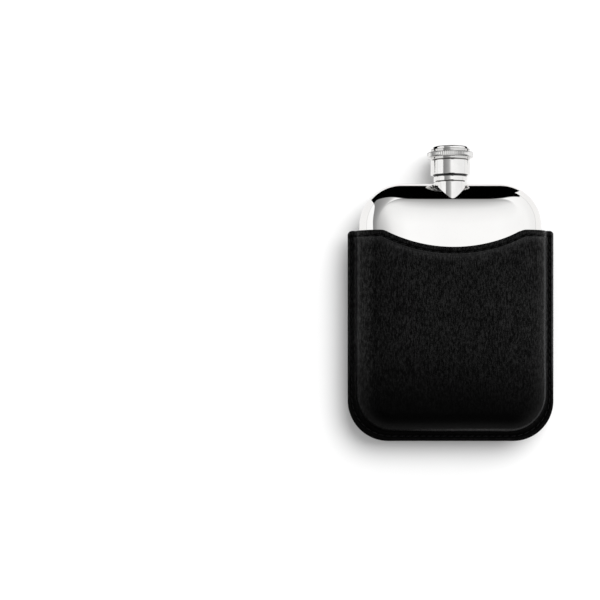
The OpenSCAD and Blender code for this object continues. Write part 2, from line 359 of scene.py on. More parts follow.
def turned(name, profile, material, bevel=0.12 * MM, swell=0.0, shaded_r=0.0):
    """A part turned on the neck's axis from a closed outline of radius and height above the body.

    The share swell draws its foot out to the front, to meet the body's shoulder. A groove that is cut
    in to the given radius gets painted shade: it is marked to be painted dark in the steel's colour.
    """
    outline = soften(profile, bevel) if bevel else np.array(profile)
    turns = np.linspace(0, 2 * math.pi, TURN_STEPS, endpoint=False)
    points = []
    shade_marks = []
    for t in turns:
        for r, h in outline:
            forward = r * math.sin(t)
            if h < BOSS_TOP:
                forward += swell * max(0, forward)
            points.append((r * math.cos(t), TOP_Y + h, MID_Z + forward))
            # Painted shade: points on a groove's floor are marked to be painted dark.
            shade_marks.append(GROOVE_SHADE * (abs(r - shaded_r) < 0.05 * MM))
    m = len(outline)
    faces = []
    for i in range(TURN_STEPS):
        for j in range(m):
            a, b = i * m + j, i * m + (j + 1) % m
            step = m if i < TURN_STEPS - 1 else -i * m
            faces.append((a, b, b + step, a + step))
    return solid(name, points, faces, material, groove=shade_marks)


def grown(name, tree, material, source, **inputs):
    """A plain mesh from a Geometry Nodes tree that was run on a source object with named inputs."""
    modifier = source.modifiers.new(name, "NODES")
    modifier.node_group = tree
    for item in tree.interface.items_tree:
        if item.item_type == "SOCKET" and item.in_out == "INPUT" and item.name in inputs:
            modifier[item.identifier] = inputs[item.name]
    evaluated = source.evaluated_get(bpy.context.evaluated_depsgraph_get())
    mesh = bpy.data.meshes.new_from_object(evaluated)
    bpy.data.objects.remove(source)
    mesh.name = name
    mesh.materials.clear()
    mesh.materials.append(material)
    return linked(name, mesh)


def new_tree(name, **inputs):
    """A Geometry Nodes tree with named inputs; returns it, a wire for each input, and its output."""
    tree = bpy.data.node_groups.new(name, "GeometryNodeTree")
    tree.interface.new_socket("Geometry", in_out="INPUT", socket_type="NodeSocketGeometry")
    tree.interface.new_socket("Geometry", in_out="OUTPUT", socket_type="NodeSocketGeometry")
    for key, kind in inputs.items():
        tree.interface.new_socket(key, in_out="INPUT", socket_type="NodeSocket" + kind)
    source = tree.nodes.new("NodeGroupInput")
    target = tree.nodes.new("NodeGroupOutput")
    wires = {key: Wire(tree, source.outputs[key]) for key in ("Geometry", *inputs)}
    return tree, wires, target


def close_tree(geometry, material, target):
    """Ends a tree in real, painted geometry."""
    real = geometry.node("GeometryNodeRealizeInstances", (), {0: geometry})
    painted = real.node("GeometryNodeSetMaterial", (), {"Geometry": real, "Material": material})
    painted.tree.links.new(painted.socket, target.inputs[0])


turned_steel, turned_shader, spot = finish("turned_steel", Metallic=1.0)
lathe_marks = spot.noise(0.05 * MM, 2, (200, 1, 200))
groove = spot.node("ShaderNodeAttribute", {"attribute_name": "groove"}, (), 2)
# The groove mark paints the steel dark: painted shade in the turned grooves, between the knurl's ridges and
# on its steps. The noise varies the tone at random.
dress(
    turned_shader,
    Base_Color=(groove * groove * 0.32 + spot.noise(3 * MM, 3) * 0.14).mix(
        (0.94, 0.935, 0.925), (0.15, 0.145, 0.14)
    ),
    Roughness=lathe_marks.ramp((0.3, 0.06), (0.8, 0.13)),
    Normal=lathe_marks.bump(0.004 * MM, 0.6),
)

# Two starts of one helix, half a turn apart, each with a rounded crest that fades out at both ends.
thread_tree, wires, target = new_tree(
    "thread", Turns="Float", Radius="Float", Depth="Float", Lead="Float", RunOut="Float"
)
turns = wires["Turns"]
helix = turns.node("GeometryNodeCurveSpiral", (), {
    "Resolution": 48,
    "Rotations": turns,
    "Start Radius": wires["Radius"],
    "End Radius": wires["Radius"],
    "Height": turns * wires["Lead"],
})
helix = helix.node("GeometryNodeSetCurveNormal", {"mode": "Z_UP"}, {"Curve": helix})
share = helix.node("GeometryNodeSplineParameter")
fade = share.math("MINIMUM", share / wires["RunOut"], (1 - share) / wires["RunOut"])
fade = share.math("MINIMUM", fade, 1.0)
helix = helix.node("GeometryNodeSetCurveRadius", (), {"Curve": helix, "Radius": fade})
crest = helix.node(
    "GeometryNodeCurvePrimitiveCircle", (), {"Resolution": 6, "Radius": wires["Depth"]}
)
start = helix.node(
    "GeometryNodeCurveToMesh", (), {"Curve": helix, "Profile Curve": crest, "Fill Caps": True}
)
places = start.node("GeometryNodeMeshLine", (), {"Count": 2, "Offset": (0, 0, 0)})
index = start.node("GeometryNodeInputIndex")
spin = index.node("ShaderNodeCombineXYZ", (), {"Z": index * math.pi})
both = places.node(
    "GeometryNodeInstanceOnPoints", (), {"Points": places, "Instance": start, "Rotation": spin}
)
close_tree(both, turned_steel, target)

thread = grown(
    "neck_thread", thread_tree, turned_steel, linked("thread_blank", bpy.data.meshes.new("thread_blank")),
    Turns=THREAD_TURNS, Radius=THREAD_ROOT_R, Depth=THREAD_CREST_R - THREAD_ROOT_R, Lead=THREAD_LEAD,
    RunOut=THREAD_RUN_OUT,
)
for vertex in thread.data.vertices:
    x, y, z = vertex.co
    vertex.co = (x, TOP_Y + THREAD_LOW + z, MID_Z - y)
for polygon in thread.data.polygons:
    polygon.use_smooth = True
place_piece(thread, "flask", "turned_steel")

tube = turned("neck_boss_and_tube", [
    (BORE_R, TUBE_FOOT), (NECK_R, TUBE_FOOT), (NECK_R, BOSS_TOP), (THREAD_ROOT_R, BOSS_TOP),
    (THREAD_ROOT_R, NECK_TOP - 0.4 * MM), (THREAD_ROOT_R - 0.4 * MM, NECK_TOP), (BORE_R, NECK_TOP),
], turned_steel, swell=BOSS_SWELL)
place_piece(tube, "flask", "turned_steel", "neck_tube")
# The groove under the collar is painted dark, as shade.
collar = turned("neck_collar_ring", [
    (THREAD_ROOT_R, BOSS_TOP), (GROOVE_R, BOSS_TOP), (GROOVE_R, COLLAR_LOW),
    (NECK_R, COLLAR_LOW), (NECK_R, COLLAR_TOP), (THREAD_ROOT_R, COLLAR_TOP),
], turned_steel, 0.2 * MM, shaded_r=GROOVE_R)
place_piece(collar, "flask", "turned_steel", "neck_collar")

# ---- Cap liner and seal ----
# A black plastic liner with the mating thread is pressed up into the cap, and holds a soft pale disc
# that closes the neck. Its lip shows as a dark line under the cap's skirt.
liner, liner_shader, spot = finish("liner_plastic")
grit = spot.noise(0.15 * MM, 2)
dress(
    liner_shader,
    Base_Color=grit.mix((0.01, 0.01, 0.011), (0.018, 0.018, 0.019)),
    Roughness=grit.ramp((0.3, 0.34), (0.7, 0.5)),
    Normal=grit.bump(0.01 * MM, 0.5),
)
seal, seal_shader, spot = finish("seal_rubber")
specks = spot.noise(0.5 * MM, 3)
dress(
    seal_shader,
    Base_Color=specks.mix((0.5, 0.48, 0.43), (0.68, 0.66, 0.6)),
    Roughness=specks.ramp((0.3, 0.5), (0.7, 0.75)),
    Normal=specks.bump(0.02 * MM, 0.5),
)
for node_name, material in (("thread_insert", liner), ("cap_seal", seal)):
    node_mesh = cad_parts[node_name].data
    node_mesh.materials.clear()
    node_mesh.materials.append(material)

# ---- Cap ----
# A turned cup with a plain skirt, a knurled grip ring pressed round its head, and a polished disc
# riveted on top. A narrow groove parts the skirt from the ring.
SKIRT_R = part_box("cap_skirt")[1].x
SKIRT_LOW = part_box("cap_skirt")[0].y - TOP_Y
SKIRT_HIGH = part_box("cap_skirt")[1].y - TOP_Y
LINER_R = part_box("thread_insert")[1].x
LINER_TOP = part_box("thread_insert")[1].y - TOP_Y
KNURL_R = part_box("knurled_ring")[1].x - 0.01 * MM
KNURL_WALL_R = KNURL_R - MM
KNURL_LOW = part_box("knurled_ring")[0].y - TOP_Y
KNURL_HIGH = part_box("knurled_ring")[1].y - TOP_Y
DISC_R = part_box("cap_crown")[1].x
DISC_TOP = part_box("cap_crown")[1].y - TOP_Y
HEAD_R = SKIRT_R - 0.4 * MM
GROOVE_LOW = 10.05 * MM
GAP_R = SKIRT_R - 0.65 * MM
STUD_R = 2 * MM
DISC_EDGE_R = 0.55 * MM
DISC_DOME = 0.05 * MM
RIDGES = 70
RIDGE_DEPTH = 0.36 * MM
# How dark the grip ring's steps are painted, as painted shade.
STEP_SHADE = 0.9

# The groove between the skirt and the grip ring is painted dark, as shade.
cup = turned("cap_cup", [
    (LINER_R, SKIRT_LOW), (SKIRT_R, SKIRT_LOW), (SKIRT_R, GROOVE_LOW), (GAP_R, GROOVE_LOW),
    (GAP_R, KNURL_LOW), (HEAD_R, KNURL_LOW), (HEAD_R, SKIRT_HIGH), (STUD_R, SKIRT_HIGH),
    (STUD_R, LINER_TOP), (LINER_R, LINER_TOP),
], turned_steel, 0.18 * MM, shaded_r=GAP_R)
place_piece(cup, "cap", "turned_steel", "cap_skirt")

disc_edge = arc((DISC_R - DISC_EDGE_R, DISC_TOP - DISC_DOME - DISC_EDGE_R), DISC_EDGE_R, 0, 80, 8)
disc = turned("cap_disc", [
    (0, LINER_TOP), (STUD_R, LINER_TOP), (STUD_R, SKIRT_HIGH), (DISC_R, SKIRT_HIGH), *disc_edge,
    *((share * DISC_R, DISC_TOP - share * DISC_DOME) for share in (0.8, 0.5, 0.2)), (0, DISC_TOP),
], steel, 0)
place_piece(disc, "cap", "polished_steel", "cap_crown")


def smooth(a, b, v):
    """A value's way from a to b as 0 to 1, eased at both ends."""
    t = np.clip((v - a) / (b - a), 0, 1)
    return t * t * (3 - 2 * t)


def ridge_blank():
    """One ridge of the knurled ring, a wedge of the whole ring about the origin's Y axis."""
    half = (KNURL_HIGH - KNURL_LOW) / 2
    low_r, high_r = KNURL_R - 1.25 * MM, KNURL_R - 1.45 * MM
    low_step = [
        (low_r - 0.1 * MM, -half), (low_r, 0.1 * MM - half), (low_r, 0.2 * MM - half),
        (low_r, -1.45 * MM), (low_r, -1.35 * MM),
    ]
    ridge = [
        (KNURL_R - 0.3 * MM, -1.32 * MM), (KNURL_R - 0.1 * MM, -1.22 * MM), (KNURL_R, -1.02 * MM),
        (KNURL_R, -0.2 * MM), (KNURL_R, 0.62 * MM), (KNURL_R - 0.1 * MM, 0.82 * MM),
        (KNURL_R - 0.3 * MM, 0.92 * MM),
    ]
    high_step = [
        (high_r - 0.08 * MM, 0.95 * MM), (high_r - 0.07 * MM, 1.05 * MM),
        (high_r + 0.04 * MM, half - 0.25 * MM), (high_r + 0.04 * MM, half - 0.15 * MM),
        (high_r - 0.08 * MM, half),
    ]
    outline = low_step + ridge + high_step + [(HEAD_R, half), (HEAD_R, -half)]
    columns = np.linspace(-1, 1, 7)
    points, faces, shade_marks = [], [], []
    for c in columns:
        turn = c * math.pi / RIDGES
        for r, h in outline:
            cut = RIDGE_DEPTH * abs(c) ** 1.3 * smooth(KNURL_R - 0.8 * MM, KNURL_R - 0.3 * MM, r)
            points.append(((r - cut) * math.sin(turn), h, (r - cut) * math.cos(turn)))
            # Painted shade: the valleys between ridges and the ring's steps are marked to be painted dark.
            shade_marks.append(max(cut / RIDGE_DEPTH, STEP_SHADE * (HEAD_R < r < KNURL_WALL_R)))
    m = len(outline)
    for i in range(len(columns) - 1):
        for j in range(m):
            a, b = i * m + j, i * m + (j + 1) % m
            faces.append((a, b, b + m, a + m))
    return linked("ridge_blank", raw_mesh("ridge_blank", points, faces, groove=shade_marks))


# The ring is one ridge repeated about its axis, which is the origin's Y until the ring is moved up.
knurl_tree, wires, target = new_tree("knurl", Count="Int")
ridge, count = wires["Geometry"], wires["Count"]
places = ridge.node("GeometryNodeMeshLine", (), {"Count": count, "Offset": (0, 0, 0)})
index = ridge.node("GeometryNodeInputIndex")
spin = index.node("ShaderNodeCombineXYZ", (), {"Y": index * (2 * math.pi) / count})
ridges = places.node(
    "GeometryNodeInstanceOnPoints", (), {"Points": places, "Instance": ridge, "Rotation": spin}
)
close_tree(ridges, turned_steel, target)
knurl = grown("knurled_grip_ring", knurl_tree, turned_steel, ridge_blank(), Count=RIDGES)
for vertex in knurl.data.vertices:
    vertex.co += Vector((0, TOP_Y + (KNURL_LOW + KNURL_HIGH) / 2, MID_Z))
welded(knurl.data, math.radians(50))
place_piece(knurl, "cap", "turned_steel", "knurled_ring")
bpy.data.node_groups.remove(knurl_tree)

# ---- Sleeve lining ----
# A thin black cloth glued inside each leather before moulding. Only its edge shows inside the mouth,
# and the rest once the flask is drawn out.
leather_low, leather_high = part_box("front_leather")
FOOT_Y = leather_low.y
MOUTH_Y = leather_high.y
SLEEVE_HALF = leather_high.x
welt_low, welt_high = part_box("seam_welt")
WELT_HALF = (welt_high.z - welt_low.z) / 2
POCKET_GAP = 0.3 * MM
LINING = 0.4 * MM
LEATHER = 1.2 * MM
LINING_OUT = POCKET_GAP + LINING
LEATHER_OUT = LINING_OUT + LEATHER
FLANGE = SLEEVE_HALF - HALF_W - LEATHER_OUT
FOOT_FLANGE = MID_Y - HALF_H - LEATHER_OUT - FOOT_Y
SCOOP_DEPTH = 7.4 * MM
SCOOP_R = 64 * MM
SHOULDER_R = 6 * MM
SLEEVE_CORNER_R = 17.5 * MM
LINING_SETBACK = 0.6 * MM
FLANGE_CORNER = 1.8 * MM
LEG_STEPS = 90
CORNER_STEPS = 20
FOOT_STEPS = 44
FACE_INSETS = np.linspace(EDGE_R + LEATHER_OUT, HALF_W + LEATHER_OUT - 0.15 * MM, 68)[1:]
WEAVE = 0.4 * MM


def mouth_line(drop, scooped):
    """The mouth's edge from right to left, lowered by a distance measured square to it."""
    if not scooped:
        return np.array([(SLEEVE_HALF * 1.1, MOUTH_Y - drop), (-SLEEVE_HALF * 1.1, MOUTH_Y - drop)])
    reach = SCOOP_R + SHOULDER_R
    turn = math.acos((reach - SCOOP_DEPTH) / reach)
    side = reach * math.sin(turn)
    shoulder = arc((side, MOUTH_Y - SHOULDER_R), SHOULDER_R - drop, 90, 90 + math.degrees(turn), 12)
    scoop = arc(
        (0, MOUTH_Y - SCOOP_DEPTH + SCOOP_R), SCOOP_R + drop,
        270 + math.degrees(turn), 270 - math.degrees(turn), 90,
    )
    half = np.concatenate([[(SLEEVE_HALF * 1.1, MOUTH_Y - drop)], shoulder, scoop[1:-1]])
    return np.concatenate([half, (shoulder * (-1, 1))[::-1], [(-SLEEVE_HALF * 1.1, MOUTH_Y - drop)]])


def pocket_line(inset, high, scooped):
    """A U round the pocket, from the left of the mouth to its right, inset from the leather's wall.

    A negative inset runs out over the flange. The U's ends stand high above the mouth's edge.
    """
    out = max(0, -inset) / FLANGE
    half_w = HALF_W + LEATHER_OUT - inset if inset > 0 else HALF_W + LEATHER_OUT + out * FLANGE
    low = MID_Y - HALF_H - LEATHER_OUT + max(inset, 0) - out * FOOT_FLANGE
    wall_r = LOWER_R + LEATHER_OUT
    r = max(wall_r - inset, 0.3 * MM) if inset > 0 else wall_r + out * (SLEEVE_CORNER_R - wall_r)
    edge = mouth_line(0, scooped)[::-1]
    top = np.interp(half_w, edge[:, 0], edge[:, 1]) + high
    past = max(0, FLANGE_CORNER - FLANGE - inset)
    top -= FLANGE_CORNER - math.sqrt(FLANGE_CORNER**2 - past**2)
    drops = np.concatenate([[0, 0.06, 0.16, 0.3, 0.5], np.linspace(0.8, 4.4, 13)]) * MM
    rest = np.linspace(0, 1, LEG_STEPS - len(drops) + 1)[1:] ** 1.3
    down = np.concatenate([drops, drops[-1] + (top - low - r - drops[-1]) * rest])
    left = np.stack([np.full(len(down), -half_w), top - down], 1)
    turn_left = arc((r - half_w, low + r), r, 180, 270, CORNER_STEPS)[1:]
    turn_right = arc((half_w - r, low + r), r, 270, 360, CORNER_STEPS)[1:]
    base = np.linspace(turn_left[-1], (half_w - r, low), FOOT_STEPS + 1)[1:]
    right = (left * (-1, 1))[::-1][1:]
    return np.concatenate([left, turn_left, base, turn_right, right])


def pocket_grid(profile, grow, crown, seam, high, scooped):
    """Rings of a pocket skin from a profile of inset and height, with the crown on its face."""
    grid = []
    for inset, edge_z in profile:
        x, y = pocket_line(inset, high, scooped).T
        rise = max(0.0, edge_z - seam) / (EDGE_R + grow - seam)
        grid.append(np.stack([x, y, edge_z + rise * crown * crown_share(x, y, grow, True)], 1))
    return np.array(grid)


def wall_profile(r, first, last, steps):
    """Inset and height round the pocket's edge, at a radius about the centre of the flask's edge."""
    turns = np.radians(np.linspace(first, last, steps))
    return [(EDGE_R + LEATHER_OUT - r * math.cos(t), r * math.sin(t)) for t in turns]


def close_slit(faces, rows, cols):
    """Adds faces over the narrow slit down the middle, where the last ring lies folded on itself."""
    half = rows * cols
    last = (rows - 1) * cols
    for j in range(cols // 2):
        a, b = last + j, last + j + 1
        c, d = last + cols - 2 - j, last + cols - 1 - j
        if a < c:
            faces.append((a, b, c, d))
            faces.append((d + half, c + half, b + half, a + half))
    faces.append((last, last + cols - 1, last + cols - 1 + half, last + half))


def drop_wall(faces, rows, cols):
    """Faces without the wall that ran along the last ring."""
    half = rows * cols
    first = half - cols
    return [
        f for f in faces
        if not (len({v % half for v in f}) == 2 and min(v % half for v in f) >= first)
    ]


def pocket_solid(name, outer, inner, side, material, **marks):
    """A pocket half between two grids, closed down the middle, for the front (1) or the back (-1)."""
    rows, cols = outer.shape[:2]
    points, faces = sheet_mesh(outer, inner, np.ones((rows, cols), bool), False)
    faces = drop_wall(faces, rows, cols)
    close_slit(faces, rows, cols)
    return solid(name, points * (1, 1, side) + (0, 0, MID_Z), faces, material, **marks)


lining, lining_shader, spot = finish("lining_cloth", Roughness=0.92)
warp = spot.math("SINE", spot.axis("X") * (2 * math.pi / WEAVE))
weft = spot.math("SINE", spot.axis("Y") * (2 * math.pi / WEAVE))
weave = warp * weft * 0.5 + 0.5
dress(
    lining_shader,
    Base_Color=(weave * spot.noise(2 * MM, 3)).mix((0.012, 0.012, 0.013), (0.04, 0.039, 0.042)),
    Normal=weave.bump(0.05 * MM, 0.6),
)

for name, crown, side, scooped in (("front_lining", CROWN, 1, True), ("back_lining", 0, -1, False)):
    grids = []
    for grow in (LINING_OUT, POCKET_GAP):
        profile = wall_profile(EDGE_R + grow, 0.2, 90, 20)
        profile += [(inset, EDGE_R + grow) for inset in FACE_INSETS]
        grids.append(pocket_grid(profile, grow, crown, WELT_HALF, -LINING_SETBACK, scooped))
    cloth = pocket_solid(name + "_cloth", *grids, side, lining)
    place_piece(cloth, "sleeve", "lining_cloth", name)

# ---- Sleeve leather ----
# Two black calf panels of fine upright grain: the front wet-moulded over the flask with a scooped,
# turned-over mouth, the back flat. Their flanges are painted at the edge once sewn.
STITCH_DROP = 2.4 * MM
FLANGE_STITCH = 1.7 * MM
MOUTH_PITCH = 3.5 * MM
FLANGE_PITCH = 3 * MM
FLANGE_RINGS = np.array([0, 0.05, 0.15, 0.3, 0.6, 0.95, 1.3, 1.5, 1.7, 1.9, 2.1, 2.4]) * MM
FLANGE_EDGE_R = 0.3 * MM
FILLET = 0.8 * MM
HEM = 0.22 * MM
MOUTH_EDGE_R = 0.4 * MM
WAVE = 0.05 * MM
GROOVE_DEPTH = 0.32 * MM
GROOVE_HALF = 0.42 * MM
HOLE_DEPTH = 0.3 * MM
HOLE_R = 0.34 * MM


def even(path, pitch):
    """Points at even steps along a path, half a step in from each end, near a pitch apart."""
    steps = np.linalg.norm(np.diff(path, axis=0), axis=1)
    along = np.concatenate([[0], np.cumsum(steps)])
    count = int(along[-1] / pitch)
    places = (np.arange(count) + 0.5) * along[-1] / count
    return np.stack([np.interp(places, along, path[:, i]) for i in range(path.shape[1])], 1)


def distance(x, y, path):
    """Distance in plan from grid points to a path."""
    nearest = np.full(x.shape, 1.0)
    for p, q in zip(path[:-1], path[1:]):
        dx, dy = q - p
        t = np.clip(((x - p[0]) * dx + (y - p[1]) * dy) / (dx * dx + dy * dy), 0, 1)
        nearest = np.minimum(nearest, np.hypot(x - p[0] - t * dx, y - p[1] - t * dy))
    return nearest


def normals(grid):
    """Unit normals of a grid of points, towards the outside of the front."""
    along = np.gradient(grid, axis=1)
    across = np.gradient(grid, axis=0)
    n = np.cross(along, across)
    n /= np.maximum(np.linalg.norm(n, axis=2, keepdims=True), 1e-12)
    return n * np.sign(n[..., 2:].mean())


def flange_line():
    """The stitch line along the flange, a U from mouth to mouth."""
    line = pocket_line(FLANGE_STITCH - FLANGE, 0, False)
    return line[line[:, 1] < MOUTH_Y - STITCH_DROP]


def mouth_stitch_line(scooped):
    """The stitch line under the mouth, between the flanges."""
    reach = HALF_W + LEATHER_OUT - 1.2 * MM if scooped else HALF_W - EDGE_R - MOUTH_PITCH
    line = mouth_line(STITCH_DROP, scooped)
    x = np.linspace(reach, -reach, 240)
    return np.stack([x, np.interp(x, line[::-1, 0], line[::-1, 1])], 1)


leather, leather_shader, spot = finish(
    "black_leather", Roughness=0.55, Specular_IOR_Level=0.04, Coat_Roughness=0.34, Coat_IOR=1.8
)
streaks = spot.noise(0.5 * MM, 3, (1, 4, 2))
fine = spot.noise(0.22 * MM, 2, (1, 3, 1))
pores = spot.noise(0.3 * MM, 1, (1, 1.3, 1))
grain = streaks * 0.45 + fine * 0.3 + pores * 0.25
worn = spot.noise(6 * MM, 3)
rub = spot.node("ShaderNodeAttribute", {"attribute_name": "rub"}, (), 2)
gloss = (grain * 0.93 + worn * 0.07).ramp((0.43, 0.0), (0.5, 0.05), (0.57, 0.23))
edge_wear_and_sheen = rub.math("MAXIMUM", rub - 1.0, 0.0)
pale_wear_and_sheen = grain.ramp((0.4, 0), (0.62, 0.06)) * rub + edge_wear_and_sheen * 0.4
# The mark read here pales the leather and adds to its coat: edge wear, with painted highlights on the rim,
# the lip and the flange's edge, and painted shade towards the foot and along the mouth's stitch groove.
dress(
    leather_shader,
    Base_Color=pale_wear_and_sheen.mix((0.0001, 0.0001, 0.0001), (0.04, 0.04, 0.041)),
    Coat_Weight=gloss * rub + edge_wear_and_sheen * 0.17,
    Normal=grain.bump(0.1 * MM, 0.75),
)


def ridge_at(away, width):
    """A soft ridge of height 1 and about this half width, at distances from its line."""
    return np.exp(-((away / width) ** 2))


def panel_profiles():
    """Inset and height of a leather's two skins, from the flange's edge to the middle of the face."""
    seam = WELT_HALF + LEATHER
    r_out, r_in = EDGE_R + LEATHER_OUT, EDGE_R + LINING_OUT
    outer, inner = [], []
    for out in FLANGE_RINGS:
        edge = max(0.0, FLANGE_EDGE_R - out)
        outer.append((out - FLANGE, seam - (FLANGE_EDGE_R - math.sqrt(FLANGE_EDGE_R**2 - edge**2))))
        inner.append((out - FLANGE, WELT_HALF))
    tall = seam + FILLET
    reach = math.sqrt((r_out + FILLET) ** 2 - tall**2)
    meet = math.degrees(math.asin(tall / (r_out + FILLET)))
    start_in = math.degrees(math.asin(WELT_HALF / r_in))
    for turn, inward in zip(np.linspace(-90, -meet, 7), np.linspace(start_in, meet, 7)):
        a, b = math.radians(turn), math.radians(inward)
        outer.append((r_out - reach + FILLET * math.cos(a), tall + FILLET * math.sin(a)))
        inner.append((r_out - r_in * math.cos(b), r_in * math.sin(b)))
    outer += wall_profile(r_out, meet, 90, 26)[1:]
    inner += wall_profile(r_in, meet, 90, 26)[1:]
    outer += [(inset, r_out) for inset in FACE_INSETS]
    inner += [(inset, r_in) for inset in FACE_INSETS]
    return outer, inner


def stitch_marks(x, y, line, pitch):
    """Depth of the groove along a stitch line, with a deeper hole at each end of every stitch."""
    depth = GROOVE_DEPTH * ridge_at(distance(x, y, line), GROOVE_HALF)
    middles = even(line, pitch)
    step = np.gradient(middles, axis=0)
    step /= np.linalg.norm(step, axis=1, keepdims=True)
    for hole in np.concatenate([middles - step * 0.4 * pitch, middles + step * 0.4 * pitch]):
        depth = depth + HOLE_DEPTH * ridge_at(np.hypot(x - hole[0], y - hole[1]), HOLE_R)
    return depth


def rubbed(x, y, inset, from_mouth, on_flange):
    """How pale and glossy the leather is at places on it: edge wear, with painted light and shade.

    It is little at the foot, as painted shade that darkens towards the bottom, and in the mouth's
    groove, as painted shade; more on the lip under that groove, as a painted highlight, and most on
    the rim of the pocket and the flange's edge, as painted highlights over edge wear, above all on the
    right, as if lit from there.
    """
    under_stitch = from_mouth - STITCH_DROP
    past_lip = under_stitch - 0.6 * MM
    # Painted highlight on the lip under the mouth's stitches.
    lip = np.where(past_lip < 0, ridge_at(past_lip, 0.3 * MM), np.exp(-past_lip / (1.2 * MM)))
    # Painted shade: darker and duller towards the foot, and along the groove under the mouth's stitches.
    rub = (0.05 + 0.95 * smooth(FOOT_Y + 3 * MM, FOOT_Y + 50 * MM, y)) * (1 - 0.4 * on_flange)
    rub = (rub + 0.6 * lip * (1 - on_flange)) * (1 - 0.9 * ridge_at(under_stitch, 0.4 * MM))
    rim = ridge_at(inset - 0.85 * MM, 0.7 * MM)
    trim = ridge_at(inset + FLANGE - 0.45 * MM, 0.4 * MM)
    trim = trim * (0.25 + 0.75 * smooth(FOOT_Y + 10 * MM, FOOT_Y + 40 * MM, y))
    # Painted light: the rim and flange-edge highlights are stronger on the right, as if lit from the right.
    painted_light_from_right = 0.3 + 0.7 * smooth(-30 * MM, 10 * MM, x)
    return rub + painted_light_from_right * ((3.1 - rub) * rim + 1.9 * trim)


def leather_panel(name, crown, side, scooped):
    """A moulded leather with its flange, its hem, and the marks that the stitches press into it."""
    outer, inner = panel_profiles()
    top = pocket_grid(outer, LEATHER_OUT, crown, WELT_HALF + LEATHER, 0, scooped)
    under = pocket_grid(inner, LINING_OUT, crown, WELT_HALF, 0, scooped)
    n = normals(top)
    x, y = top[..., 0], top[..., 1]
    on_flange = np.zeros(x.shape)
    on_flange[:len(FLANGE_RINGS)] = 1
    from_mouth = distance(x, y, mouth_line(0, scooped))
    lift = -(1 - on_flange) * stitch_marks(x, y, mouth_stitch_line(scooped), MOUTH_PITCH)
    lift = lift - on_flange * stitch_marks(x, y, flange_line(), FLANGE_PITCH)
    if scooped:
        hem = HEM * (1 - smooth(2.9 * MM, 3.7 * MM, from_mouth))
        wave = np.sin(x * 190) * np.sin(y * 150 + 1) + 0.6 * np.sin(x * 310 + 2) * np.sin(y * 260)
        wave = WAVE * wave * smooth(4 * MM, 12 * MM, from_mouth)
        lift = lift + (hem + wave) * (1 - on_flange)
    top = top + n * lift[..., None]
    short = np.maximum(MOUTH_EDGE_R - from_mouth, 0)
    ease = MOUTH_EDGE_R - np.sqrt(np.maximum(MOUTH_EDGE_R**2 - short**2, 0))
    top = top - n * ease[..., None]
    under = under + n * 0.6 * ease[..., None]
    inset = np.array([place for place, _ in outer])[:, None]
    rub = rubbed(x, y, inset, from_mouth, on_flange)
    rub = np.concatenate([rub.ravel(), np.full(rub.size, 0.2)])
    return pocket_solid(name, top, under, side, leather, rub=rub), top


panels = {}
for name, crown, side, scooped in (("front_leather", CROWN, 1, True), ("back_leather", 0, -1, False)):
    panel, panels[name] = leather_panel(name + "_moulded", crown, side, scooped)
    place_piece(panel, "sleeve", "black_leather", name)

# ---- Welt ----
# A strip of firm leather between the two flanges, trimmed flush with them. Its edge is painted, so it
# shows as the middle line of the sleeve's side.
WELT_RINGS = np.array([0, 0.08, 0.2, 0.5, 1, 1.8, 2.6, 3.2]) * MM
WELT_TRIM = 0.06 * MM
WELT_ROUND = np.array([0.22, 0.1, 0.02, 0, 0, 0, 0, 0, 0]) * MM

paint, paint_shader, spot = finish("edge_paint", Specular_IOR_Level=0.2)
drag = spot.noise(0.6 * MM, 3)
dress(
    paint_shader,
    Base_Color=drag.mix((0.001, 0.001, 0.001), (0.005, 0.005, 0.005)),
    Roughness=drag.ramp((0.3, 0.34), (0.7, 0.5)),
    Normal=drag.bump(0.04 * MM, 0.5),
)
rows = [pocket_line(out - FLANGE + WELT_TRIM, 0, False) for out in WELT_RINGS]
rows = np.array([*rows, pocket_line(LEATHER, 0, False)])
grids = []
for sign in (1, -1):
    z = sign * (WELT_HALF - WELT_ROUND)[:, None] * np.ones(rows.shape[:2])
    grids.append(np.dstack([rows, z]))
points, faces = sheet_mesh(*grids, np.ones(rows.shape[:2], bool), False)
welt = solid("welt_strip", points + (0, 0, MID_Z), faces, paint)
place_piece(welt, "sleeve", "edge_paint", "seam_welt")

# ---- Stitching ----
# Two-ply waxed black thread, sewn through the flange all round the pocket and along both mouths. Each
# stitch lies in the groove that it has pulled into the leather.
STITCH_R = 0.2 * MM
STITCH_SHARE = 0.86
TWISTS = 1.6


def ply_blank(length):
    """One stitch along X: two plies twisted round each other, drawn in at both ends."""
    rings, sides, plies = 11, 6, 2
    points, faces = [], []
    for ply in range(plies):
        base = len(points)
        for i in range(rings):
            t = i / (rings - 1)
            twist = 2 * math.pi * (TWISTS * t + ply / plies)
            full = max(0.12, math.sin(math.pi * t) ** 0.35)
            sink = 0.55 * STITCH_R * (2 * t - 1) ** 4
            mid_y = 0.5 * STITCH_R * math.cos(twist) * full
            mid_z = 0.5 * STITCH_R * math.sin(twist) * full - sink
            ply_r = 0.72 * STITCH_R * full
            for j in range(sides):
                a = 2 * math.pi * j / sides
                points.append(((t - 0.5) * length, mid_y + ply_r * math.cos(a), mid_z + ply_r * math.sin(a)))
        for i in range(rings - 1):
            for j in range(sides):
                a, b = base + i * sides + j, base + i * sides + (j + 1) % sides
                faces.append((a, b, b + sides, a + sides))
        faces.append(tuple(base + j for j in reversed(range(sides))))
        faces.append(tuple(base + (rings - 1) * sides + j for j in range(sides)))
    return linked("ply_blank", raw_mesh("ply_blank", points, faces))


waxed, waxed_shader, spot = finish("black_thread", Specular_IOR_Level=0.12)
fibres = spot.noise(0.06 * MM, 2)
dress(
    waxed_shader,
    Base_Color=fibres.mix((0.001, 0.001, 0.001), (0.008, 0.008, 0.0085)),
    Roughness=fibres.ramp((0.3, 0.42), (0.7, 0.65)),
    Normal=fibres.bump(0.02 * MM, 0.6),
)

